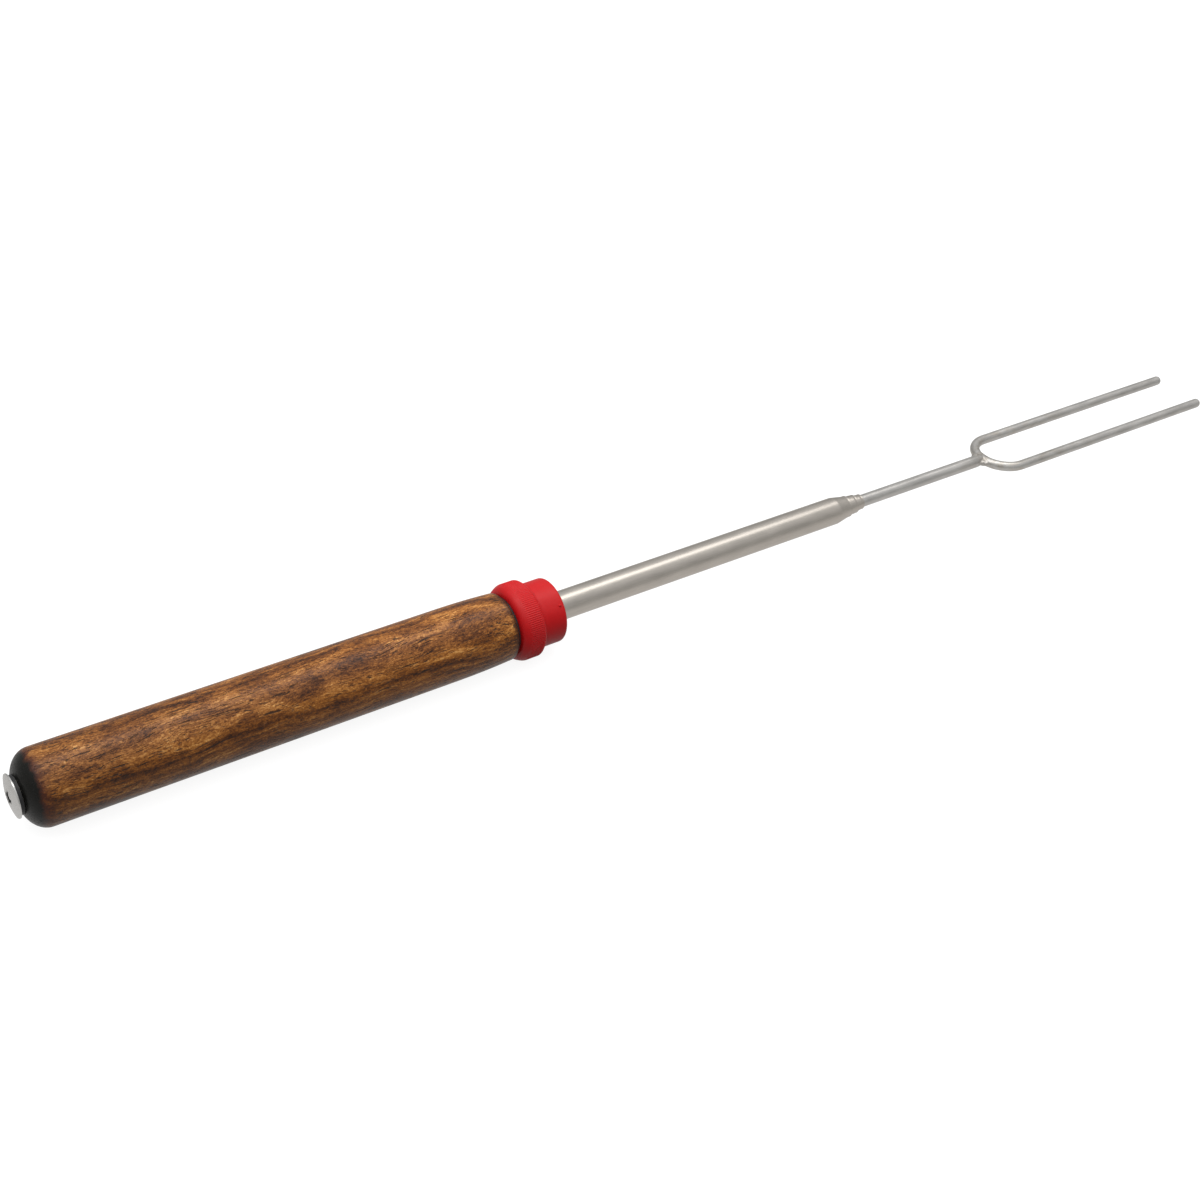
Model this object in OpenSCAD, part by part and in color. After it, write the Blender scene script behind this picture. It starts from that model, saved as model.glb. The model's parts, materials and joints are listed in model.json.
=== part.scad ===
// Telescoping roasting fork with a wooden handle and a thumb wheel that spins the whole fork.
// The spin axis is X: the butt of the handle is at -X and the prongs point to +X.
// The origin is on the spin axis, half-way along the straight part of the handle.
// Millimetres. The tubes are drawn pushed fully in.

/* [Handle] */
// Outside diameter of the wooden handle
handle_d = 25.2; // [24.4:0.2:28]
// Length of the wooden handle
handle_length = 168.5; // [160:0.5:180]
// Depth of the domed butt, along the axis, if it ran on to a point
dome_depth = 7.4; // [5:0.1:8]
// Length over which the front end is eased down
ease_length = 21.7; // [15:0.1:40]
// How much the radius loses over that length
ease_drop = 0.75; // [0.25:0.05:1.2]
// Radius of the rounding at the front edge
front_round = 1.2; // [0.6:0.1:1.5]

/* [Thumb wheel] */
// Diameter over the ridges of the grip ring
ring_d = 27.4; // [26.8:0.2:30]
// Width of the grip ring along the axis
ring_width = 8.7; // [6.95:0.25:10.95]
// Number of ridges round the ring
ridge_count = 120; // [60:2:140]
// Depth of the grooves between the ridges
ridge_depth = 0.25; // [0.15:0.05:0.3]
// Diameter of the smooth hub in front of the ring
hub_d = 23; // [18:0.2:24]
// Length of the hub
hub_length = 9.8; // [6:0.2:14]

/* [Axle screw] */
// Diameter of the low domed head
head_d = 14.2; // [13.5:0.1:15]
// Height of the head
head_height = 1.7; // [1.6:0.1:2.6]
// Diameter of the shank
screw_d = 6.35; // [5:0.05:6.5]
// Length of the plug that the screw holds in the outer tube
plug_length = 18; // [16:1:20]

/* [Tubes] */
// Diameter of the outer tube
outer_d = 10.3; // [10.1:0.1:10.5]
// Wall of the outer tube
outer_wall = 0.5; // [0.45:0.05:0.6]
// Diameter of the middle tube
middle_d = 7.3; // [7.3:0.1:7.5]
// Wall of the middle tube
middle_wall = 0.4; // [0.35:0.05:0.45]
// Diameter of the inner tube
inner_d = 6; // [5.9:0.1:6.1]
// Wall of the inner tube
inner_wall = 0.35; // [0.3:0.05:0.35]
// Length of the outer tube that shows in front of the hub
outer_show = 134.8; // [120:0.2:170]
// Length of the outer tube inside the handle
outer_hidden = 70; // [60:1:75]
// Length of the coned mouth of the outer tube
cone_length = 6.5; // [4:0.5:8]
// How far the middle tube stands out of the outer tube
middle_show = 3.8; // [2.5:0.1:5]
// How far the inner tube stands out of the middle tube
inner_show = 3.2; // [2.5:0.1:5]

/* [Fork] */
// Diameter of the solid stem
stem_d = 4.8; // [4.6:0.1:4.8]
// Length of stem that shows when the fork is pushed in, up to the middle of the bend
stem_show = 76.1; // [60.1:0.2:100.1]
// Diameter of the prong wire
wire_d = 3.8; // [3.4:0.1:4.2]
// Distance between the prongs, centre to centre
prong_spacing = 22; // [20:0.1:23.6]
// Length of a prong from the middle of the bend to its tip
prong_length = 105.5; // [90:0.5:130]

/* [Hidden] */
$fn = 96;

// Clearances: a running fit and the lighter fit of the friction springs, both on the radius.
run_fit = 0.06;
head_fit = 0.08;
spring_fit = 0.04;
face_gap = 0.15;
stop_gap = 0.5;
over = 1;

// The handle. Its straight part is centred on the origin. The butt is part of an ellipse that
// is cut off flat where the screw sits.
dome_spread = 9.9;
dome_centre_r = handle_d / 2 - dome_spread;
butt_flat_r = 6.6;
dome_start = asin((butt_flat_r - dome_centre_r) / dome_spread);
dome_length = dome_depth * cos(dome_start);
dome_steps = 16;
straight_length = handle_length - dome_length - ease_length;
butt_x = -straight_length / 2 - dome_length;
front_x = butt_x + handle_length;
ease_r = (pow(ease_length, 2) + pow(ease_drop, 2)) / (2 * ease_drop);
bearing_d = 14;
bearing_length = 20;
rear_bearing_d = 10;
rear_bearing_length = 14;
flange_overhang = 2;
flange_thickness = 1.2;

// The spinning group.
washer_thickness = 1.2;
washer_d = 12.6;
thrust_washer_d = 20.6;
thrust_washer_thickness = 0.8;
ring_rear_round = 3;
ring_front_round = 0.7;
hub_round = 1;
wheel_x = front_x + face_gap + thrust_washer_thickness;
hub_x = wheel_x + ring_width;
hub_front_x = hub_x + hub_length;
head_rim = 0.5;
seat_x = butt_x - face_gap - washer_thickness;
recess_span = 5.4;
recess_width = 1.3;
recess_depth = 1.4;

// The outer tube, and the plug that closes its hidden end.
outer_x = front_x - outer_hidden;
outer_mouth_x = hub_front_x + outer_show;
outer_lip_d = 7.9;
plug_front_x = outer_x + plug_length;

// Every sliding section has a head that runs in the bore around it, with a spigot in its own bore.
head_length = 7;
spigot_length = 5;
section_pitch = head_length + spigot_length + stop_gap;
middle_head_x = plug_front_x + stop_gap;
inner_head_x = middle_head_x + section_pitch;
stem_head_x = inner_head_x + section_pitch;
middle_mouth_x = outer_mouth_x + middle_show;
inner_mouth_x = middle_mouth_x + inner_show;
lip_length = 1.5;
spring_width = 3.6;
spring_thickness = 0.3;
vent_d = 1.6;
spigot_d = 3.2;

// The fork.
bend_r = prong_spacing / 2;
bend_x = inner_mouth_x + stem_show;
weld_length = 2.2;
weld_flare = 0.9;

function bore(od, wall) = od - 2 * wall;

// Turns the 2D children, drawn as (radius, x), round the spin axis.
module turned() { rotate([0, 90, 0]) rotate_extrude() children(); }

// What a rounded corner of radius r takes away, with the centre of the rounding at the origin.
module corner_waste(r) {
    difference() {
        square(r + over);
        circle(r = r);
    }
}

// Half profile of a round bar from x0 to x1 with rounded ends.
module bar_profile(x0, x1, r, round0, round1) {
    difference() {
        translate([0, x0]) square([r, x1 - x0]);
        translate([r - round0, x0 + round0]) mirror([0, 1]) corner_waste(round0);
        translate([r - round1, x1 - round1]) corner_waste(round1);
    }
}

// Plain round bar along the axis.
module rod(x0, x1, d) { translate([x0, 0, 0]) rotate([0, 90, 0]) cylinder(h = x1 - x0, d = d); }

// Sleeve along the axis.
module sleeve(x0, x1, od, id) {
    difference() {
        rod(x0, x1, od);
        rod(x0 - over, x1 + over, id);
    }
}

// Thin tube from x0 to x1, narrowed to a lip over its last stretch.
module mouthed_tube(x0, x1, od, wall, lip_od, lip_id, narrowing) {
    turned() polygon([
        [bore(od, wall) / 2, x0], [od / 2, x0],
        [od / 2, x1 - narrowing], [lip_od / 2, x1],
        [lip_id / 2, x1], [bore(od, wall) / 2, x1 - narrowing]
    ]);
}

// Groove round a head, where its friction spring sits.
module spring_groove(head_x, housing_bore) {
    mid_x = head_x + head_length / 2;
    groove_d = housing_bore - 2 * spring_fit - 2 * spring_thickness;
    sleeve(mid_x - spring_width / 2, mid_x + spring_width / 2, housing_bore + over, groove_d);
}

// End plug of a sliding tube: a head with a spring groove, a spigot and a vent.
module end_plug(head_x, housing_bore, own_bore) {
    difference() {
        union() {
            rod(head_x, head_x + head_length, housing_bore - 2 * head_fit);
            rod(head_x + head_length, head_x + head_length + spigot_length, own_bore);
        }
        spring_groove(head_x, housing_bore);
        rod(head_x - over, head_x + section_pitch, vent_d);
    }
}

// Split spring ring in the groove of a head.
module friction_spring(head_x, housing_bore) {
    mid_x = head_x + head_length / 2;
    od = housing_bore - 2 * spring_fit;
    split = 1;
    difference() {
        sleeve(mid_x - spring_width / 2 + spring_fit, mid_x + spring_width / 2 - spring_fit,
               od, od - 2 * spring_thickness);
        translate([mid_x - spring_width, -split / 2, 0]) cube([2 * spring_width, split, od]);
    }
}

// Bent wire of the fork, without its straight prongs.
module bend() {
    translate([bend_x, 0, 0]) rotate([0, 0, 90])
        rotate_extrude(angle = 180) translate([bend_r, 0]) circle(d = wire_d);
}

// Half profile of the handle: domed butt, straight part, eased and rounded front.
module handle_profile() {
    r = handle_d / 2;
    dome = [for (i = [0 : dome_steps]) let (a = dome_start + (90 - dome_start) * i / dome_steps)
        [dome_centre_r + dome_spread * sin(a), butt_x + dome_depth * (cos(dome_start) - cos(a))]];
    difference() {
        polygon(concat([[0, front_x], [0, butt_x]], dome, [[r, front_x]]));
        difference() {
            translate([r - 2 * ease_drop, front_x - ease_length]) square([r, ease_length + over]);
            translate([r - ease_r, front_x - ease_length]) circle(r = ease_r, $fn = 1440);
        }
        translate([r - ease_drop - front_round, front_x - front_round]) corner_waste(front_round);
    }
}

module handle_grip() {
    color("saddlebrown") difference() {
        turned() handle_profile();
        rod(front_x - bearing_length, front_x + over, bearing_d);
        rod(front_x - flange_thickness, front_x + over, bearing_d + 2 * flange_overhang);
        rod(outer_x - 4, front_x, outer_d + 1);
        rod(butt_x - over, outer_x, screw_d + 1);
        rod(butt_x - over, butt_x + rear_bearing_length, rear_bearing_d);
        rod(butt_x - over, butt_x + flange_thickness, rear_bearing_d + flange_overhang);
    }
}

module front_bearing() {
    color("ivory") difference() {
        union() {
            rod(front_x - bearing_length, front_x, bearing_d);
            rod(front_x - flange_thickness, front_x, bearing_d + 2 * flange_overhang);
        }
        rod(butt_x, front_x + over, outer_d + 2 * run_fit);
    }
}

module rear_bearing() {
    color("ivory") difference() {
        union() {
            rod(butt_x, butt_x + rear_bearing_length, rear_bearing_d);
            rod(butt_x, butt_x + flange_thickness, rear_bearing_d + flange_overhang);
        }
        rod(butt_x - over, front_x, screw_d + 2 * run_fit);
    }
}

module butt_washer() {
    color("#202020") sleeve(seat_x, seat_x + washer_thickness, washer_d, screw_d);
}

// Low domed head with a cross recess, and a long shank that ends in the plug.
module axle_screw() {
    dome = head_height - head_rim;
    dome_r = (pow(head_d / 2, 2) + pow(dome, 2)) / (2 * dome);
    color("silver") difference() {
        union() {
            turned() intersection() {
                translate([0, seat_x - head_height]) square([head_d / 2, head_height]);
                translate([0, seat_x - head_height + dome_r]) circle(r = dome_r);
            }
            rod(seat_x - head_rim, plug_front_x - 2, screw_d);
        }
        for (turn = [0, 90]) rotate([turn, 0, 0])
            translate([seat_x - head_height - over, -recess_span / 2, -recess_width / 2])
                cube([recess_depth + over, recess_span, recess_width]);
    }
}

module tube_end_plug() {
    color("goldenrod") sleeve(outer_x, plug_front_x, bore(outer_d, outer_wall), screw_d);
}

module outer_tube() {
    color("silver") mouthed_tube(outer_x, outer_mouth_x, outer_d, outer_wall,
                                 outer_lip_d, middle_d + 2 * run_fit, cone_length);
}

// Ridged ring and smooth hub, moulded in one.
module thumb_wheel() {
    ridge_step = 360 / ridge_count;
    ring_r = ring_d / 2;
    valley_r = ring_r - ridge_depth;
    band_x = wheel_x + ring_rear_round;
    band_width = ring_width - ring_rear_round - ring_front_round;
    color("#9c1414") difference() {
        union() {
            turned() bar_profile(wheel_x, hub_x, valley_r - 0.05, ring_rear_round, ring_front_round);
            turned() bar_profile(wheel_x + ring_rear_round, hub_front_x, hub_d / 2, 1, hub_round);
            translate([band_x, 0, 0]) rotate([0, 90, 0]) linear_extrude(band_width) polygon([
                for (i = [0 : 2 * ridge_count - 1])
                    let (r = i % 2 == 0 ? ring_r : valley_r, a = i * ridge_step / 2)
                    [r * cos(a), r * sin(a)]]);
        }
        rod(wheel_x - over, hub_front_x + over, outer_d);
    }
}

module front_thrust_washer() {
    color("#303030") sleeve(front_x + face_gap, wheel_x, thrust_washer_d, outer_d);
}

module middle_end_plug() {
    color("goldenrod") end_plug(middle_head_x, bore(outer_d, outer_wall), bore(middle_d, middle_wall));
}

module middle_friction_spring() {
    color("gray") friction_spring(middle_head_x, bore(outer_d, outer_wall));
}

module middle_tube() {
    color("silver") mouthed_tube(middle_head_x + head_length, middle_mouth_x, middle_d, middle_wall,
                                 middle_d - 0.5, inner_d + 2 * run_fit, lip_length);
}

module inner_end_plug() {
    color("goldenrod") end_plug(inner_head_x, bore(middle_d, middle_wall), bore(inner_d, inner_wall));
}

module inner_friction_spring() {
    color("gray") friction_spring(inner_head_x, bore(middle_d, middle_wall));
}

module inner_tube() {
    color("silver") mouthed_tube(inner_head_x + head_length, inner_mouth_x, inner_d, inner_wall,
                                 inner_d - 0.4, stem_d + 2 * run_fit, lip_length);
}

module stem_end_bush() {
    housing = bore(inner_d, inner_wall);
    color("goldenrod") difference() {
        sleeve(stem_head_x, stem_head_x + head_length, housing - 2 * head_fit, spigot_d);
        spring_groove(stem_head_x, housing);
    }
}

module stem_friction_spring() {
    color("gray") friction_spring(stem_head_x, bore(inner_d, inner_wall));
}

// Solid stem, turned down at its hidden end and coped to the bend at its front end.
module fork_stem() {
    color("silver") difference() {
        union() {
            rod(stem_head_x, stem_head_x + head_length, spigot_d);
            rod(stem_head_x + head_length, bend_x - bend_r, stem_d);
        }
        bend();
    }
}

module fork_prongs() {
    straight = prong_length - wire_d / 2;
    color("silver") union() {
        bend();
        for (side = [-1, 1]) translate([0, side * bend_r, 0]) {
            rod(bend_x, bend_x + straight, wire_d);
            translate([bend_x + straight, 0, 0]) sphere(d = wire_d);
        }
    }
}

// Flared collar of weld round the end of the stem.
module weld_bead() {
    weld_x = bend_x - bend_r - wire_d / 2;
    stem_r = stem_d / 2;
    color("dimgray") difference() {
        translate([weld_x - weld_length, 0, 0]) rotate([0, 90, 0])
            cylinder(h = weld_length + weld_flare, r1 = stem_r, r2 = stem_r + weld_flare);
        rod(weld_x - 2 * weld_length, bend_x, stem_d);
        bend();
    }
}

handle_grip();
front_bearing();
rear_bearing();
butt_washer();
axle_screw();
tube_end_plug();
outer_tube();
thumb_wheel();
front_thrust_washer();
middle_end_plug();
middle_friction_spring();
middle_tube();
inner_end_plug();
inner_friction_spring();
inner_tube();
stem_end_bush();
stem_friction_spring();
fork_stem();
fork_prongs();
weld_bead();
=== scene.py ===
"""Looks of the telescoping roasting fork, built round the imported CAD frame. Metres, row frame."""
import json
import math

import bmesh
import bpy
from mathutils import Matrix, Vector, noise


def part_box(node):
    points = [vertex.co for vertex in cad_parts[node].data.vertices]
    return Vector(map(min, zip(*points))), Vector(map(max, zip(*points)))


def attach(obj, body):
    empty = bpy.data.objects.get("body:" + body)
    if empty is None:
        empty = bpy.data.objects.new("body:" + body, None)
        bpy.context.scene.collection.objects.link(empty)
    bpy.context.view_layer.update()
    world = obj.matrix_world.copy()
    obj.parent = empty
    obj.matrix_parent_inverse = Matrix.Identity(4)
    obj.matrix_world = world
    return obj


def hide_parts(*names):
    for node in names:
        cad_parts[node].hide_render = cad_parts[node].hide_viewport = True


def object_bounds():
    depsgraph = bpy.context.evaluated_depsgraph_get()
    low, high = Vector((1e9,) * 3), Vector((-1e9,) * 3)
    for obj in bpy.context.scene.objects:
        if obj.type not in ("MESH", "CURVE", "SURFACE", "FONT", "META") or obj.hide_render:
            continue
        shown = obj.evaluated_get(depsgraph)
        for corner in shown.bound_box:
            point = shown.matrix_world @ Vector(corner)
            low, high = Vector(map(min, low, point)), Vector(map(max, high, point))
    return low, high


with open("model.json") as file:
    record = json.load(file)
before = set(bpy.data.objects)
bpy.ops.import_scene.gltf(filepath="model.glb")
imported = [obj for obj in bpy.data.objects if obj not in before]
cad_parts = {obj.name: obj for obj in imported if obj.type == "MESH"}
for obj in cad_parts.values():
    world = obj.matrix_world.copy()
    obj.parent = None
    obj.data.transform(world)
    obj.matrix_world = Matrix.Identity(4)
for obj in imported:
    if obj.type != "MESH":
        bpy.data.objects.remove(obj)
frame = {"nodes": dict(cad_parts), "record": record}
cad_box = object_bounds()

MM = 0.001


# ---------------------------------------------------------------- places taken from the frame

def span(node):
    """Rear x, front x and largest radius of a CAD node."""
    low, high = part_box(node)
    return low.x, high.x, high.z


BUTT_X, FRONT_X, HANDLE_R = span("handle_grip")
HEAD_X, SCREW_TIP_X, HEAD_R = span("axle_screw")
WHEEL_X, HUB_FRONT_X, RING_R = span("thumb_wheel")
OUTER_X, OUTER_MOUTH_X, OUTER_R = span("outer_tube")
MIDDLE_X, MIDDLE_MOUTH_X, MIDDLE_R = span("middle_tube")
INNER_X, INNER_MOUTH_X, INNER_R = span("inner_tube")
STEM_X, STEM_TIP_X, STEM_R = span("fork_stem")
BEND_X, PRONG_TIP_X, WIRE_R = span("fork_prongs")
FLOOR_Z = cad_box[0][2]
PRONG_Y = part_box("fork_prongs")[1].y - WIRE_R
BEND_APEX_X = BEND_X + WIRE_R
BEND_CENTRE_X = BEND_APEX_X + PRONG_Y

# Brightness of the surround by height, straight down to straight up.
MATT_LIGHT = (
    (-1.0, (0.24, 0.24, 0.24)), (-0.2, (0.12, 0.12, 0.12)), (0.3, (0.18, 0.18, 0.18)),
    (1.0, (2.5, 2.5, 2.5)))
GLOSS_LIGHT = (
    (-1.0, (0.62, 0.61, 0.60)), (-0.35, (0.56, 0.55, 0.54)), (0.0, (0.34, 0.34, 0.33)),
    (0.45, (0.42, 0.42, 0.42)), (1.0, (0.75, 0.75, 0.75)))


# ---------------------------------------------------------------- mesh helpers

def arc(x, r, radius, start, end, steps):
    """Points (x, r) of an arc round the centre (x, r), angles in degrees from the +x side."""
    angles = [math.radians(start + (end - start) * i / steps) for i in range(steps + 1)]
    return [(x + radius * math.cos(a), r + radius * math.sin(a)) for a in angles]


def stretch(x0, x1, r, steps):
    """Points along a straight cylinder, ends left out."""
    return [(x0 + (x1 - x0) * i / steps, r) for i in range(1, steps)]


def smooth_step(t):
    t = min(max(t, 0.0), 1.0)
    return t * t * (3 - 2 * t)


def finish_mesh(name, bm, sharp_degrees=32.0):
    """Turns a bmesh into a shaded object with sharp edges where faces meet at an angle."""
    bmesh.ops.recalc_face_normals(bm, faces=bm.faces)
    limit = math.radians(sharp_degrees)
    for edge in bm.edges:
        edge.smooth = len(edge.link_faces) != 2 or edge.calc_face_angle(0.0) < limit
    for face in bm.faces:
        face.smooth = True
    mesh = bpy.data.meshes.new(name)
    bm.to_mesh(mesh)
    bm.free()
    piece = bpy.data.objects.new(name, mesh)
    bpy.context.scene.collection.objects.link(piece)
    return piece


def lathe_bmesh(profile, segments, radius_at=None):
    """Closed solid turned round X. profile is a closed loop of (x, r), or a line that starts and ends
    on the axis. radius_at(x, r, angle) can change the radius at each point."""
    bm = bmesh.new()
    rings = []
    for x, r in profile:
        if r < 1e-7:
            rings.append([bm.verts.new((x, 0, 0))])
            continue
        ring = []
        for i in range(segments):
            a = 2 * math.pi * i / segments
            ra = radius_at(x, r, a) if radius_at else r
            ring.append(bm.verts.new((x, ra * math.cos(a), ra * math.sin(a))))
        rings.append(ring)
    on_axis = len(rings[0]) == 1
    pairs = list(zip(rings, rings[1:])) + ([] if on_axis else [(rings[-1], rings[0])])
    for a, b in pairs:
        for i in range(segments):
            j = (i + 1) % segments
            corners = [a[i], a[j], b[j], b[i]] if len(a) > 1 < len(b) else (
                [a[0], b[j], b[i]] if len(a) == 1 else [a[i], a[j], b[0]])
            bm.faces.new(corners)
    return bm


def place(piece, body, node, material):
    """Puts a made piece on its body in place of its CAD node."""
    piece.data.materials.append(material)
    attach(piece, body)
    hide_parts(node)
    return piece


# ---------------------------------------------------------------- material helpers

class Nodes:
    """Small wrapper that makes nodes and links them in one call."""

    def __init__(self, name):
        self.material = bpy.data.materials.new(name)
        self.material.use_nodes = True
        self.tree = self.material.node_tree
        self.bsdf = self.tree.nodes["Principled BSDF"]
        coords = self.add("ShaderNodeTexCoord")
        self.mm = self.add("ShaderNodeVectorMath", {0: coords.outputs["Object"], "Scale": 1000.0},
                           operation="SCALE").outputs[0]

    def add(self, kind, inputs=None, **props):
        node = self.tree.nodes.new(kind)
        for key, value in props.items():
            setattr(node, key, value)
        for key, value in (inputs or {}).items():
            self.put(node.inputs[key], value)
        return node

    def put(self, socket, value):
        if isinstance(value, bpy.types.NodeSocket):
            self.tree.links.new(value, socket)
        else:
            socket.default_value = value

    def shader(self, **inputs):
        for key, value in inputs.items():
            self.put(self.bsdf.inputs[key.replace("_", " ")], value)

    def math(self, operation, a, b=0.0, clamp=False):
        return self.add("ShaderNodeMath", {0: a, 1: b}, operation=operation, use_clamp=clamp).outputs[0]

    def stretched(self, scale, vector=None, turn=(0, 0, 0)):
        """Millimetre coordinates scaled per axis, for grain that runs along X."""
        return self.add("ShaderNodeMapping", {"Vector": vector or self.mm, "Rotation": turn,
                                              "Scale": scale}).outputs[0]

    def noise(self, scale=(1, 1, 1), detail=2.0, rough=0.5, vector=None, turn=(0, 0, 0), distort=0.0):
        return self.add("ShaderNodeTexNoise", {
            "Vector": self.stretched(scale, vector, turn), "Scale": 1.0, "Detail": detail,
            "Roughness": rough, "Distortion": distort}).outputs["Fac"]

    def remap(self, value, low, high, to_low=0.0, to_high=1.0):
        return self.add("ShaderNodeMapRange", {
            "Value": value, "From Min": low, "From Max": high, "To Min": to_low,
            "To Max": to_high}).outputs["Result"]

    def ramp(self, value, stops):
        node = self.add("ShaderNodeValToRGB", {"Fac": value})
        elements = node.color_ramp.elements
        while len(elements) < len(stops):
            elements.new(0.5)
        for element, (position, colour) in zip(elements, stops):
            element.position = position
            element.color = (*colour, 1)
        return node.outputs["Color"]

    def mix(self, factor, a, b, blend="MIX"):
        node = self.add("ShaderNodeMix", data_type="RGBA", blend_type=blend)
        for index, value in ((0, factor), (6, a), (7, b)):
            if isinstance(value, tuple):
                value = (*value, 1)
            self.put(node.inputs[index], value)
        return node.outputs[2]

    def bump(self, height, strength, distance_mm, normal=None):
        inputs = {"Height": height, "Strength": strength, "Distance": distance_mm * MM}
        if normal:
            inputs["Normal"] = normal
        return self.add("ShaderNodeBump", inputs).outputs[0]


def stained_wood():
    n = Nodes("stained_wood")
    x = n.add("ShaderNodeSeparateXYZ", {0: n.mm}).outputs[0]
    lean = (0, math.radians(1.5), math.radians(4))
    # Slow waviness of the grain.
    wave = n.add("ShaderNodeTexNoise", {"Vector": n.stretched((0.028, 0.07, 0.07)), "Scale": 1.0,
                                        "Detail": 2.0}).outputs["Color"]
    wave = n.add("ShaderNodeVectorMath", {0: wave, 1: (0.5, 0.5, 0.5)}, operation="SUBTRACT").outputs[0]
    wave = n.add("ShaderNodeVectorMath", {0: wave, "Scale": 9.0}, operation="SCALE").outputs[0]
    grain = n.add("ShaderNodeVectorMath", {0: n.mm, 1: wave}, operation="ADD").outputs[0]
    # Growth bands round a pith that lies outside the handle.
    across = n.add("ShaderNodeVectorMath", {0: grain, 1: (0, 1, 1)}, operation="MULTIPLY").outputs[0]
    from_pith = n.add("ShaderNodeVectorMath", {0: across, 1: (0, 22, -31)}, operation="DISTANCE")
    bands = n.add("ShaderNodeTexNoise", {"W": n.math("MULTIPLY", from_pith.outputs["Value"], 0.55),
                                         "Scale": 1.0, "Detail": 3.0}, noise_dimensions="1D").outputs["Fac"]
    fibre = n.noise((0.07, 1.6, 1.6), 4, 0.65, grain, lean)
    mottle = n.noise((0.07, 0.17, 0.17), 4, 0.6, grain, lean)
    fleck = n.noise((0.85, 1.9, 1.9), 3, 0.68, grain, lean, distort=0.8)
    speck = n.noise((2.2, 2.6, 2.6), 2, 0.6, distort=0.5)
    tone = n.math("ADD", n.math("MULTIPLY", bands, 0.26), n.math("MULTIPLY", fibre, 0.26))
    tone = n.math("ADD", tone, n.math("MULTIPLY", mottle, 0.38))
    tone = n.math("ADD", tone, n.math("MULTIPLY", fleck, 0.50))
    tone = n.math("ADD", tone, n.math("MULTIPLY", speck, 0.16))
    colour = n.ramp(n.remap(tone, 0.62, 0.98), [
        (0.0, (0.020, 0.006, 0.002)), (0.25, (0.080, 0.023, 0.004)), (0.50, (0.200, 0.067, 0.010)),
        (0.75, (0.37, 0.147, 0.030)), (1.0, (0.60, 0.31, 0.10))])
    # The stain is a little heavier towards the butt.
    along = n.remap(x, BUTT_X / MM, FRONT_X / MM, 0.80, 1.10)
    colour = n.mix(1.0, colour, n.add("ShaderNodeCombineColor", {0: along, 1: along, 2: along}).outputs[0],
                   "MULTIPLY")
    # Open pores: short dashes in clusters, and a few long checks.
    cluster = n.remap(n.noise((0.03, 0.16, 0.16), 2, 0.5, grain, lean), 0.40, 0.56)
    dash = n.remap(n.noise((0.24, 2.4, 2.4), 2, 0.5, grain, lean), 0.60, 0.66)
    check = n.remap(n.noise((0.045, 1.3, 1.3), 2, 0.55, grain, lean), 0.635, 0.68)
    pores = n.math("MAXIMUM", n.math("MULTIPLY", dash, cluster), check, clamp=True)
    colour = n.mix(n.math("MULTIPLY", pores, 0.85), colour, (0.016, 0.007, 0.004))
    # The domed butt is stained nearly black, with a reddish edge.
    edge_x = BUTT_X / MM + 4.1
    ragged = n.math("MULTIPLY", n.math("SUBTRACT", n.noise((0.2, 0.4, 0.4), 3), 0.5), 3.2)
    depth = n.math("ADD", x, ragged)
    dark = n.remap(depth, edge_x - 0.9, edge_x + 0.9, 1.0, 0.0)
    blush = n.remap(depth, edge_x, edge_x + 3.2, 0.85, 0.0)
    colour = n.mix(blush, colour, (0.050, 0.010, 0.006))
    colour = n.mix(dark, colour, n.mix(mottle, (0.004, 0.003, 0.002), (0.002, 0.003, 0.002)))
    # Painted shade: the rounded front edge is darkened where it meets the wheel ring and falls into its shadow.
    front = n.remap(n.math("ADD", x, n.math("MULTIPLY", ragged, 0.2)), FRONT_X / MM - 2.2, FRONT_X / MM - 0.9, 0.0, 0.8)
    colour = n.mix(front, colour, (0.030, 0.008, 0.003))
    grit = n.math("ADD", n.math("MULTIPLY", fleck, 0.5), n.math("MULTIPLY", speck, 0.5))
    rough = n.remap(n.math("ADD", grit, n.math("MULTIPLY", pores, 0.6)), 0.35, 1.0, 0.27, 0.52)
    height = n.math("SUBTRACT", n.math("MULTIPLY", n.math("ADD", fibre, n.math("MULTIPLY", grit, 2.0)), 0.22),
                    pores)
    n.shader(Base_Color=colour, Roughness=rough, Coat_Weight=0.10, Coat_Roughness=0.22,
             Normal=n.bump(height, 0.8, 0.18))
    n.bsdf.inputs["Specular IOR Level"].default_value = 0.25
    return n.material


def steel(name, colour, rough, streak=0.06, tint=None):
    """Satin drawn steel: fine draw lines along X, faint clouding, and optional heat tint."""
    n = Nodes(name)
    lines = n.noise((0.03, 9.0, 9.0), 3, 0.6)
    cloud = n.noise((0.12, 0.4, 0.4), 3, 0.55)
    shade = n.math("ADD", n.math("MULTIPLY", lines, 0.5), n.math("MULTIPLY", cloud, 0.5))
    dark = tuple(c * (1 - 1.6 * streak) for c in colour)
    light = tuple(min(1.0, c * (1 + 1.2 * streak)) for c in colour)
    base = n.mix(n.remap(shade, 0.35, 0.65), dark, light)
    if tint:
        base = tint(n, base)
    n.shader(Base_Color=base, Metallic=1.0,
             Roughness=n.remap(shade, 0.3, 0.7, rough - 0.04, rough + 0.05),
             Normal=n.bump(lines, 0.10, 0.02))
    return n.material


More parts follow.
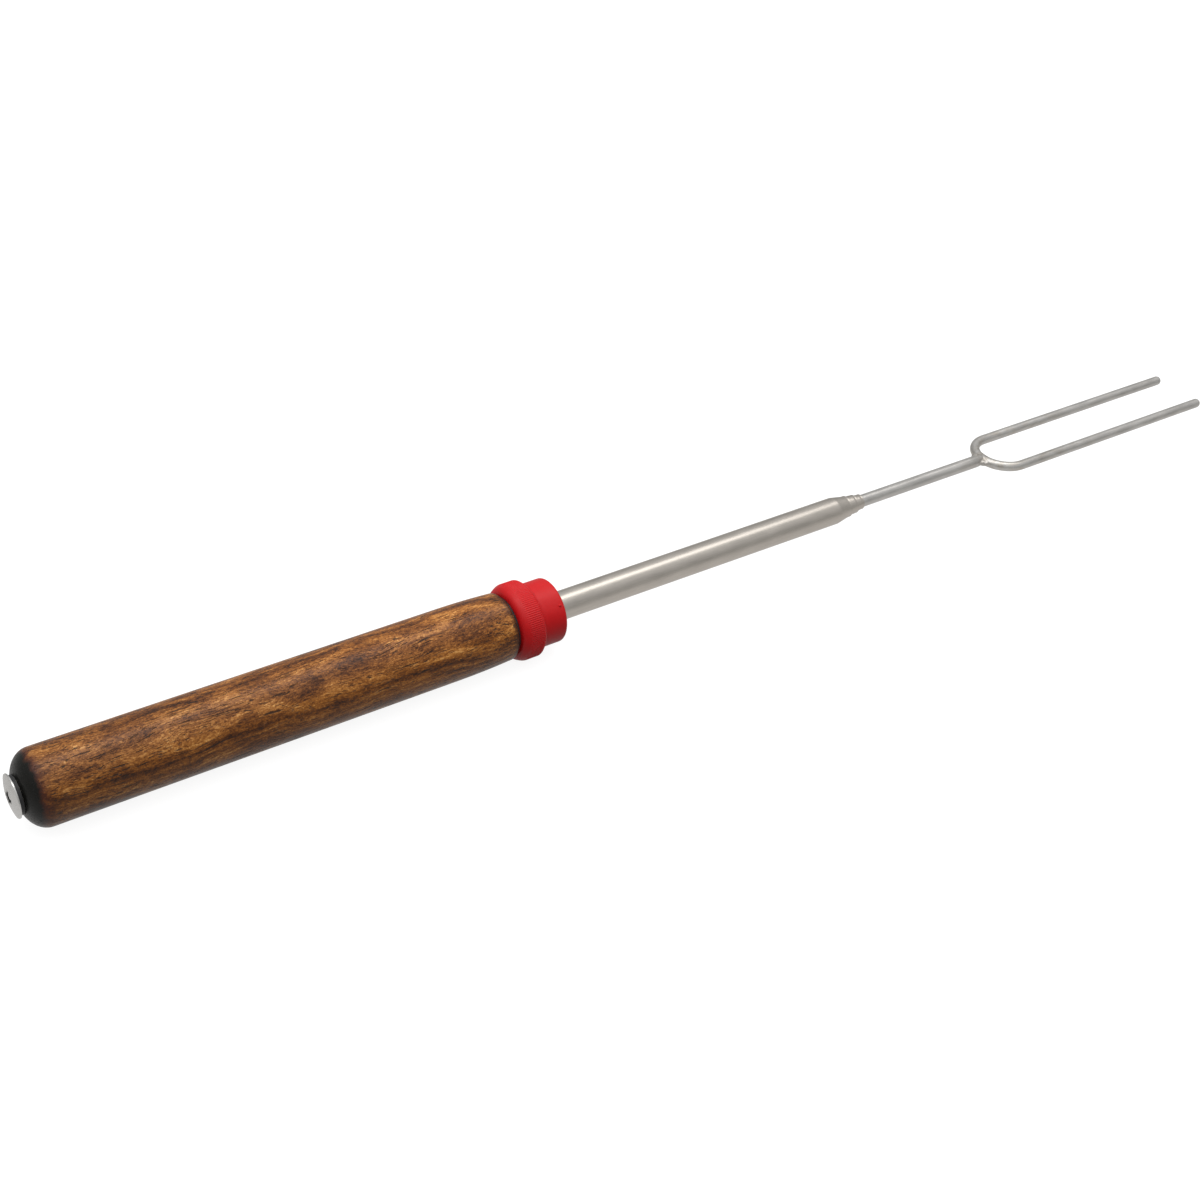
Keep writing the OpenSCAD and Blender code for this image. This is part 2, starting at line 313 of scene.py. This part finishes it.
def weld_tint(n, base):
    """Straw and faint rose left by the weld round the bend."""
    x = n.add("ShaderNodeSeparateXYZ", {0: n.mm}).outputs[0]
    blotch = n.noise((0.16, 0.5, 0.5), 3, 0.6)
    near = n.math("ADD", n.remap(x, (BEND_X - 0.02) / MM, (BEND_X + 0.004) / MM), 0.0)
    away = n.remap(x, (BEND_X + 0.022) / MM, (BEND_X + 0.075) / MM, 1.0, 0.25)
    amount = n.math("MULTIPLY", n.math("MULTIPLY", near, away), n.remap(blotch, 0.42, 0.70), clamp=True)
    return n.mix(n.math("MULTIPLY", amount, 0.5), base, n.mix(n.noise((0.3, 0.3, 0.3)), (0.46, 0.36, 0.30), (0.45, 0.42, 0.30)))


def red_plastic():
    n = Nodes("wheel_plastic")
    cloud = n.noise((0.35, 0.35, 0.35), 3, 0.5)
    grit = n.noise((6, 6, 6), 2, 0.6)
    n.shader(Base_Color=n.mix(cloud, (0.42, 0.004, 0.006), (0.47, 0.008, 0.010)),
             Roughness=n.remap(n.math("ADD", cloud, grit), 0.7, 1.3, 0.34, 0.46),
             Subsurface_Weight=0.06, Subsurface_Radius=(0.003, 0.0006, 0.0005),
             Subsurface_Scale=0.4, Normal=n.bump(grit, 0.12, 0.03))
    n.bsdf.inputs["Specular IOR Level"].default_value = 0.22
    return n.material


def plated():
    n = Nodes("plated_screw")
    cloud = n.noise((0.5, 0.5, 0.5), 3, 0.55)
    scuff = n.remap(n.noise((3.0, 0.7, 5.0), 4, 0.7, distort=0.6), 0.45, 0.75)
    # Painted shade: the driver recess is darkened almost to black below the dome surface of the head.
    split = n.add("ShaderNodeSeparateXYZ", {0: n.mm})
    radius = n.math("SQRT", n.math("ADD", n.math("MULTIPLY", split.outputs[1], split.outputs[1]),
                                   n.math("MULTIPLY", split.outputs[2], split.outputs[2])))
    sunk = n.math("SUBTRACT", n.math("SUBTRACT", split.outputs[0], HEAD_X / MM),
                  n.math("MULTIPLY", n.math("MULTIPLY", radius, radius), 0.0231))
    recess_painted_shade = n.math("MULTIPLY", n.remap(sunk, 0.08, 0.35, 0.0, 0.96), n.remap(radius, 3.2, 3.6, 1.0, 0.0))
    bright = n.mix(scuff, (0.78, 0.775, 0.76), (0.60, 0.59, 0.57))
    n.shader(Base_Color=n.mix(recess_painted_shade, bright, (0.012, 0.012, 0.011)), Metallic=1.0,
             Roughness=n.remap(n.math("ADD", cloud, scuff), 0.4, 1.6, 0.22, 0.42),
             Normal=n.bump(scuff, 0.15, 0.03))
    return n.material


def moulded(name, dark, light, rough):
    n = Nodes(name)
    cloud = n.noise((0.6, 0.6, 0.6), 3, 0.5)
    n.shader(Base_Color=n.mix(cloud, dark, light), Roughness=n.remap(cloud, 0.3, 0.7, rough - 0.06, rough + 0.08),
             Normal=n.bump(n.noise((5, 5, 5), 2), 0.15, 0.03))
    return n.material


def turned_brass():
    n = Nodes("brass_plug")
    rings = n.noise((7.0, 0.2, 0.2), 3, 0.6)
    n.shader(Base_Color=n.mix(rings, (0.66, 0.46, 0.19), (0.80, 0.60, 0.28)), Metallic=1.0,
             Roughness=n.remap(rings, 0.3, 0.7, 0.24, 0.38), Normal=n.bump(rings, 0.2, 0.02))
    return n.material


WOOD = stained_wood()
TUBE = steel("tube_steel", (0.65, 0.605, 0.55), 0.31)
WIRE = steel("fork_steel", (0.67, 0.655, 0.63), 0.36, 0.12, weld_tint)
SPRING = steel("spring_steel", (0.40, 0.41, 0.43), 0.30)
WELD = steel("weld_steel", (0.60, 0.575, 0.545), 0.40, 0.13, weld_tint)
RED = red_plastic()
PLATED = plated()
BLACK = moulded("black_washer", (0.010, 0.010, 0.011), (0.022, 0.022, 0.023), 0.45)
NYLON = moulded("bearing_nylon", (0.62, 0.58, 0.48), (0.74, 0.70, 0.60), 0.42)
BRASS = turned_brass()

for slot_name, material in (("stained_wood", WOOD), ("bearing_nylon", NYLON), ("black_washer", BLACK),
                            ("plated_screw", PLATED), ("brass_plug", BRASS), ("tube_steel", TUBE),
                            ("wheel_plastic", RED), ("spring_steel", SPRING), ("fork_steel", WIRE),
                            ("weld_steel", WELD)):
    for part in frame["record"]["subparts"]:
        if part["material_slot"] == slot_name:
            data = frame["nodes"][part["node"]].data
            data.materials.clear()
            data.materials.append(material)


# ---------------------------------------------------------------- pieces

def dome_points():
    """Elliptical butt of the handle, from the flat to the straight part."""
    spread, depth, flat_r = 9.9 * MM, 7.4 * MM, 6.6 * MM
    centre_r = HANDLE_R - spread
    first = math.asin((flat_r - centre_r) / spread)
    points = []
    for i in range(25):
        a = first + (math.pi / 2 - first) * i / 24
        points.append((BUTT_X + depth * (math.cos(first) - math.cos(a)), centre_r + spread * math.sin(a)))
    return points


def make_handle():
    ease, drop, edge = 21.7 * MM, 0.75 * MM, 1.2 * MM
    ease_x = FRONT_X - ease
    dome = dome_points()
    profile = [(BUTT_X, 6.0 * MM)] + dome
    profile += stretch(dome[-1][0], ease_x, HANDLE_R, 70)
    front_r = HANDLE_R
    for i in range(17):
        t = (ease - edge) * i / 16
        front_r = HANDLE_R - drop * (t / ease) ** 2
        profile.append((ease_x + t, front_r))
    profile += arc(FRONT_X - edge, front_r - edge, edge, 84, 0, 7)
    profile += [(x, r * MM) for x, r in (
        (FRONT_X, 9.0), (FRONT_X - 1.2 * MM, 9.0), (FRONT_X - 1.2 * MM, 7.0),
        (FRONT_X - 20 * MM, 7.0), (FRONT_X - 20 * MM, 5.65), (OUTER_X - 4 * MM, 5.65),
        (OUTER_X - 4 * MM, 3.675), (BUTT_X + 14 * MM, 3.675), (BUTT_X + 14 * MM, 5.0),
        (BUTT_X + 1.2 * MM, 5.0), (BUTT_X + 1.2 * MM, 6.0))]
    piece = finish_mesh("wooden_handle", lathe_bmesh(profile, 144))
    return place(piece, "handle", "handle_grip", WOOD)


def make_thumb_wheel():
    ridges, depth = 120, 0.15 * MM
    rear, front, hub_edge = 3.0 * MM, 0.7 * MM, 1.0 * MM
    hub_r, bore_r = 11.5 * MM, 5.15 * MM
    band_x, hub_x = WHEEL_X + rear, HUB_FRONT_X - 9.8 * MM
    body_r = RING_R - 0.3 * MM
    profile = [(WHEEL_X, bore_r), (WHEEL_X, body_r - rear - 1 * MM)]
    profile += arc(band_x, body_r - rear, rear, 180, 90, 14)
    band_end = hub_x - front
    profile += [(band_x + (band_end - band_x) * i / 20, body_r) for i in range(1, 20)]
    profile += arc(band_end, body_r - front, front, 90, 0, 6)
    profile += [(hub_x, hub_r + 0.35 * MM), (hub_x + 0.1 * MM, hub_r + 0.1 * MM), (hub_x + 0.35 * MM, hub_r)]
    profile += stretch(hub_x + 0.35 * MM, HUB_FRONT_X - hub_edge, hub_r, 6)
    profile += arc(HUB_FRONT_X - hub_edge, hub_r - hub_edge, hub_edge, 90, 0, 8)
    profile += [(HUB_FRONT_X, 6.3 * MM), (HUB_FRONT_X - 0.5 * MM, bore_r + 0.1 * MM),
                (HUB_FRONT_X - 0.7 * MM, bore_r)]

    def ridged(x, r, angle):
        """Fine ridges that rise out of the rear rounding and run to the front edge."""
        if x > hub_x - 0.3 * MM or r < body_r - 0.35 * MM or x < WHEEL_X:
            return r
        fade = smooth_step((x - band_x + 1.3 * MM) / (1.8 * MM)) * smooth_step((hub_x - 0.3 * MM - x) / (0.5 * MM))
        return r + fade * (0.3 * MM - depth * (0.5 - 0.5 * math.cos(ridges * angle)))

    bm = lathe_bmesh(profile, ridges * 6, ridged)
    # The gate mark of the moulding, on the side of the hub.
    angle = math.radians(138)
    out = Vector((0, math.cos(angle), math.sin(angle)))
    turn = out.to_track_quat("Z", "X").to_matrix().to_4x4()
    spot = Vector((HUB_FRONT_X - 1.9 * MM, 0, 0)) + out * hub_r
    bmesh.ops.create_uvsphere(bm, u_segments=20, v_segments=12, radius=0.5 * MM,
                              matrix=Matrix.Translation(spot) @ turn @ Matrix.Diagonal((1, 1, 0.8, 1)))
    piece = finish_mesh("ridged_thumb_wheel", bm, 40)
    return place(piece, "rotor", "thumb_wheel", RED)


def recess_cutter(top_x):
    """Tapered cross that cuts the driver recess."""
    bm = bmesh.new()
    for turn in (0, 90):
        rings = []
        for x, half_long, half_wide in ((top_x - 0.4 * MM, 2.9, 0.90), (top_x + 0.1 * MM, 2.75, 0.82),
                                        (top_x + 1.35 * MM, 1.1, 0.42)):
            ring = []
            for sy, sz in ((-1, -1), (1, -1), (1, 1), (-1, 1)):
                p = Matrix.Rotation(math.radians(turn), 3, "X") @ Vector((0, sy * half_long, sz * half_wide))
                ring.append(bm.verts.new((x, p.y * MM, p.z * MM)))
            rings.append(ring)
        for lower, upper in zip(rings, rings[1:]):
            for i in range(4):
                j = (i + 1) % 4
                bm.faces.new((lower[i], lower[j], upper[j], upper[i]))
        bm.faces.new(rings[0][::-1])
        bm.faces.new(rings[-1])
    bmesh.ops.create_cone(bm, cap_ends=True, segments=24, radius1=2.1 * MM, radius2=1.0 * MM, depth=1.7 * MM,
                          matrix=Matrix.Translation((top_x + 0.5 * MM, 0, 0)) @ Matrix.Rotation(math.pi / 2, 4, "Y"))
    return finish_mesh("recess_cutter", bm)


def make_screw():
    seat_x = HEAD_X + 1.7 * MM
    shank_r, head_r, rim, edge = 3.175 * MM, HEAD_R, 0.5 * MM, 0.16 * MM
    dome = 1.2 * MM
    ball_r = (head_r ** 2 + dome ** 2) / (2 * dome)
    profile = [(HEAD_X, 0.0)]
    for i in range(1, 20):
        r = (head_r - edge) * i / 19
        profile.append((HEAD_X + ball_r - math.sqrt(ball_r ** 2 - r * r), r))
    top_x = profile[-1][0]
    profile += [(top_x + edge * (1 - math.cos(a)), head_r - edge + edge * math.sin(a))
                for a in (math.radians(d) for d in (30, 60, 90))]
    profile += [(seat_x - edge, head_r), (seat_x - 0.3 * edge, head_r - 0.3 * edge), (seat_x, head_r - edge),
                (seat_x, shank_r)]
    profile += stretch(seat_x, OUTER_X, shank_r, 8)
    pitch = 1.27 * MM
    thread_end = SCREW_TIP_X - 0.8 * MM
    turns = int((thread_end - OUTER_X) / (pitch / 8))
    profile += [(OUTER_X + (thread_end - OUTER_X) * i / turns, shank_r) for i in range(turns + 1)]
    profile += [(SCREW_TIP_X, shank_r - 0.7 * MM), (SCREW_TIP_X, 0.0)]

    def threaded(x, r, angle):
        if x < OUTER_X or x > thread_end or r < shank_r - 1e-6:
            return r
        rise = abs(((x / pitch - angle / (2 * math.pi)) % 1.0) - 0.5) * 2
        return r - 0.62 * MM * rise * smooth_step((x - OUTER_X) / pitch)

    piece = finish_mesh("domed_axle_screw", lathe_bmesh(profile, 96, threaded))
    cutter = recess_cutter(HEAD_X)
    cut = piece.modifiers.new("recess", "BOOLEAN")
    cut.operation = "DIFFERENCE"
    cut.solver = "EXACT"
    cut.use_self = True
    cut.object = cutter
    bake_modifiers(piece)
    bpy.data.objects.remove(cutter)
    return place(piece, "rotor", "axle_screw", PLATED)


def bake_modifiers(piece):
    """Replaces a piece's mesh with the result of its modifiers."""
    view = bpy.context.evaluated_depsgraph_get()
    mesh = bpy.data.meshes.new_from_object(piece.evaluated_get(view), depsgraph=view)
    piece.modifiers.clear()
    piece.data = mesh


def make_tube(name, body, node, wall, neck, lip_r, lip_wall, bead):
    """Drawn tube with a soft shoulder, a coned mouth and a small rolled lip."""
    rear_x, mouth_x, r = span(node)
    neck_x = mouth_x - neck
    bore_r = r - wall
    roll = lip_wall / 2
    soften = min(0.9 * MM, neck * 0.35)

    def outer(x):
        t = (x - neck_x) / neck
        straight = r - (r - lip_r) * max(t, 0.0)
        blend = smooth_step((x - neck_x + soften) / (2 * soften))
        return (r * (1 - blend) + straight * blend) if t < 1 else lip_r

    profile = [(rear_x, bore_r), (rear_x, r - 0.08 * MM), (rear_x + 0.08 * MM, r)]
    profile += stretch(rear_x + 0.08 * MM, neck_x - soften, r, 40)
    steps = 22
    for i in range(steps):
        x = neck_x - soften + (neck + soften - 2.2 * roll) * i / steps
        profile.append((x, outer(x)))
    bead_x = mouth_x - 1.1 * roll - bead
    profile += [(bead_x - bead - 0.1 * MM, outer(bead_x - bead - 0.1 * MM))]
    profile += arc(mouth_x - roll, lip_r - roll + bead, roll, 90, 0, 5)
    profile += arc(mouth_x - roll, lip_r - lip_wall + roll, roll, 0, -90, 3)[1:]
    profile += [(neck_x, bore_r)]
    piece = finish_mesh(name, lathe_bmesh(profile, 96))
    return place(piece, body, node, TUBE)


def make_stem():
    shank_r, spigot_r = STEM_R, 1.6 * MM
    head_x = STEM_X + 7 * MM
    wire_x = BEND_APEX_X - 0.6 * MM
    profile = [(STEM_X, 0.0), (STEM_X, spigot_r - 0.1 * MM), (STEM_X + 0.1 * MM, spigot_r), (head_x, spigot_r),
               (head_x, shank_r - 0.1 * MM), (head_x + 0.1 * MM, shank_r)]
    profile += stretch(head_x + 0.1 * MM, wire_x - 3.6 * MM, shank_r, 60)
    profile += [(wire_x - 3.6 * MM, shank_r), (wire_x, 1.4 * MM), (wire_x, 0.0)]
    piece = finish_mesh("fork_stem_rod", lathe_bmesh(profile, 48))
    return place(piece, "fork", "fork_stem", WIRE)


def fork_path():
    """Centre line of the bent wire as (point, direction), from one blunt tip to the other."""
    tip_x = PRONG_TIP_X - WIRE_R
    steps = 36
    path = [(Vector((tip_x + (BEND_CENTRE_X - tip_x) * i / steps, PRONG_Y, 0)), Vector((-1, 0, 0)))
            for i in range(steps)]
    for i in range(49):
        a = math.pi / 2 + math.pi * i / 48
        path.append((Vector((BEND_CENTRE_X + PRONG_Y * math.cos(a), PRONG_Y * math.sin(a), 0)),
                     Vector((-math.sin(a), math.cos(a), 0))))
    path += [(Vector((BEND_CENTRE_X + (tip_x - BEND_CENTRE_X) * i / steps, -PRONG_Y, 0)), Vector((1, 0, 0)))
             for i in range(1, steps + 1)]
    return path


def make_prongs():
    bm = bmesh.new()
    sides = 32
    path = fork_path()
    start, end = path[0], path[-1]
    # Blunt ground tips: a short taper, a rounded edge and a small flat.
    tip_rings = [(0.35, 0.995), (0.62, 0.95), (0.82, 0.84), (0.94, 0.66), (1.0, 0.42)]
    rings = [(start[0] - start[1] * WIRE_R * t, start[1], k) for t, k in reversed(tip_rings)]
    rings += [(p, d, 1.0) for p, d in path]
    rings += [(end[0] + end[1] * WIRE_R * t, end[1], k) for t, k in tip_rings]
    made = []
    for point, direction, scale in rings:
        side = direction.cross(Vector((0, 0, 1)))
        made.append([bm.verts.new(point + (side * math.cos(a) + Vector((0, 0, 1)) * math.sin(a)) * WIRE_R * scale)
                     for a in (2 * math.pi * i / sides for i in range(sides))])
    for a, b in zip(made, made[1:]):
        for i in range(sides):
            j = (i + 1) % sides
            bm.faces.new((a[i], a[j], b[j], b[i]))
    bm.faces.new(made[0][::-1])
    bm.faces.new(made[-1])
    piece = finish_mesh("bent_fork_wire", bm, 50)
    return place(piece, "fork", "fork_prongs", WIRE)


def make_weld():
    """Smooth fillet where the stem is welded to the bend: the joint is remeshed and relaxed, so that
    only the filled corner stands out of the two rods."""
    bm = bmesh.new()

    def ball(centre, radius, stretch_x=1.0):
        bmesh.ops.create_icosphere(bm, subdivisions=3, radius=radius, matrix=Matrix.Translation(centre)
                                   @ Matrix.Diagonal((stretch_x, 1, 1, 1)))

    for i in range(26):
        radius = min(STEM_R + 0.05 * MM, (1.95 + 0.032 * i) * MM) - 0.008 * MM * max(0, i - 14)
        ball(Vector((BEND_APEX_X - (0.3 + 0.25 * i) * MM, 0, 0)), radius)
    for i in range(-22, 23):
        a = math.pi + 0.026 * i
        ball(Vector((BEND_CENTRE_X + PRONG_Y * math.cos(a), PRONG_Y * math.sin(a), 0)),
             WIRE_R + (0.10 - 0.007 * abs(i)) * MM)
    for side in (-1, 1):
        for back, out, radius in ((1.9, 2.5, 1.25), (2.7, 2.1, 1.0), (1.5, 3.4, 1.0), (3.4, 1.8, 0.9)):
            ball(Vector((BEND_APEX_X - back * MM, side * out * MM, 0)), radius * MM)
    piece = finish_mesh("weld_fillet", bm)
    remesh = piece.modifiers.new("skin", "REMESH")
    remesh.mode = "VOXEL"
    remesh.voxel_size = 0.16 * MM
    relax = piece.modifiers.new("relax", "SMOOTH")
    relax.factor = 0.5
    relax.iterations = 22
    bake_modifiers(piece)
    for face in piece.data.polygons:
        face.use_smooth = True
    return place(piece, "fork", "weld_bead", WELD)


make_handle()
make_thumb_wheel()
make_screw()
make_tube("drawn_outer_tube", "rotor", "outer_tube", 0.5 * MM, 6.5 * MM, 3.95 * MM, 0.24 * MM, 0.22 * MM)
make_tube("drawn_middle_tube", "middle_section", "middle_tube", 0.4 * MM, 1.5 * MM, 3.4 * MM, 0.3 * MM,
          0.18 * MM)
make_tube("drawn_inner_tube", "inner_section", "inner_tube", 0.35 * MM, 1.5 * MM, 2.8 * MM, 0.3 * MM,
          0.16 * MM)
make_stem()
make_prongs()
make_weld()


# ---------------------------------------------------------------- stage, light and camera

def make_floor():
    size = 8.0
    bm = bmesh.new()
    bmesh.ops.create_grid(bm, x_segments=1, y_segments=1, size=size)
    floor = finish_mesh("floor", bm)
    floor.location = (0, 0, FLOOR_Z)
    n = Nodes("floor_paper")
    n.shader(Base_Color=n.mix(n.noise((0.01, 0.01, 0.01)), (0.16, 0.16, 0.16), (0.18, 0.18, 0.18)),
             Roughness=0.8, Emission_Color=(1, 1, 1, 1), Emission_Strength=0.90)
    n.bsdf.inputs["Specular IOR Level"].default_value = 0.0
    floor.data.materials.append(n.material)
    # The surround lights the object from below, so the floor only shows and takes shadows.
    floor.visible_glossy = False
    floor.visible_diffuse = False


def area_light(name, place_at, size, power, colour):
    """Soft box that points straight down, long side along X."""
    light = bpy.data.lights.new(name, "AREA")
    light.shape = "RECTANGLE"
    light.size, light.size_y = size
    light.energy = power
    light.color = colour
    lamp = bpy.data.objects.new(name, light)
    lamp.location = place_at
    bpy.context.scene.collection.objects.link(lamp)


def make_world():
    """Plain studio surround: white to the eye, a soft vertical gradient in reflections, and mostly
    top light on matt surfaces."""
    world = bpy.data.worlds.new("studio")
    bpy.context.scene.world = world
    world.use_nodes = True
    tree = world.node_tree
    new, link = tree.nodes.new, tree.links.new
    coords = new("ShaderNodeTexCoord")
    split = new("ShaderNodeSeparateXYZ")
    link(coords.outputs["Generated"], split.inputs[0])
    height = new("ShaderNodeMapRange")
    height.inputs["From Min"].default_value = -1
    link(split.outputs["Z"], height.inputs["Value"])

    def gradient(stops):
        ramp = new("ShaderNodeValToRGB")
        elements = ramp.color_ramp.elements
        while len(elements) < len(stops):
            elements.new(0.5)
        for element, (z, colour) in zip(elements, stops):
            element.position = (z + 1) / 2
            element.color = (*colour, 1)
        link(height.outputs[0], ramp.inputs[0])
        return ramp.outputs[0]

    def mixed(factor, a, b):
        mix = new("ShaderNodeMix")
        mix.data_type = "RGBA"
        link(factor, mix.inputs[0])
        link(a, mix.inputs[6])
        if isinstance(b, tuple):
            mix.inputs[7].default_value = (*b, 1)
        else:
            link(b, mix.inputs[7])
        return mix.outputs[2]

    path = new("ShaderNodeLightPath")
    matt = gradient(MATT_LIGHT)
    gloss = gradient(GLOSS_LIGHT)
    colour = mixed(path.outputs["Is Glossy Ray"], matt, gloss)
    colour = mixed(path.outputs["Is Camera Ray"], colour, (0.97, 0.97, 0.97))
    link(colour, tree.nodes["Background"].inputs["Color"])


def make_camera():
    """55.5 mm lens on a 36 mm wide sensor, looking down from the left of the handle."""
    position = Vector((-0.18648, -0.42164, 0.37602))
    right = Vector((0.82273, -0.56483, 0.06390))
    forward = Vector((0.49004, 0.64780, -0.58328)).normalized()
    right = (right - forward * right.dot(forward)).normalized()
    up = right.cross(forward)
    data = bpy.data.cameras.new("camera")
    data.lens = 55.5
    data.sensor_width = 36
    data.clip_start = 0.01
    camera = bpy.data.objects.new("camera", data)
    camera.matrix_world = Matrix((
        (right.x, up.x, -forward.x, position.x),
        (right.y, up.y, -forward.y, position.y),
        (right.z, up.z, -forward.z, position.z),
        (0, 0, 0, 1)))
    bpy.context.scene.collection.objects.link(camera)
    bpy.context.scene.camera = camera


make_floor()
make_world()
make_camera()
area_light("overhead", (0.10, 0.10, 0.9), (1.6, 0.40), 3.1, (1, 0.985, 0.96))
bpy.context.scene.view_settings.view_transform = "Standard"
